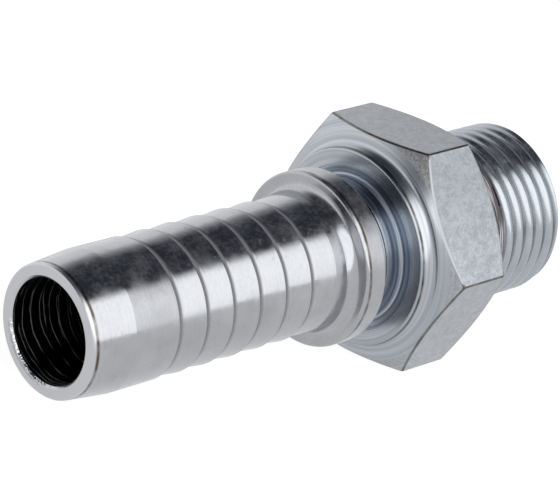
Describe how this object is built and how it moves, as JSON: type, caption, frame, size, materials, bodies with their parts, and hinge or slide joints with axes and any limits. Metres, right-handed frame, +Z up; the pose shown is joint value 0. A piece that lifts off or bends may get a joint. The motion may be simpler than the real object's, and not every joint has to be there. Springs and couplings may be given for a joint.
{
  "type": "hydraulic hose fitting",
  "caption": "Straight hydraulic hose insert: barbed tail, ferrule collar and groove, spanner hexagon and male parallel pipe thread with cone seat.",
  "frame": {"origin": "centre of the object's box, on the surface that it lies on", "axes": "+X along the insert from the hose tail to the thread, +Z up; the insert's own axis rises 7.24 degrees towards the thread, because it lies on the front edge of a hexagon flat and on the rim of the tail"},
  "size_m": [0.076, 0.0324, 0.029],
  "materials": {
    "zinc_plated_steel": "turned steel, bright clear zinc plate"
  },
  "bodies": {
    "root": {"hose_insert": "zinc_plated_steel"}
  },
  "joints": []
}
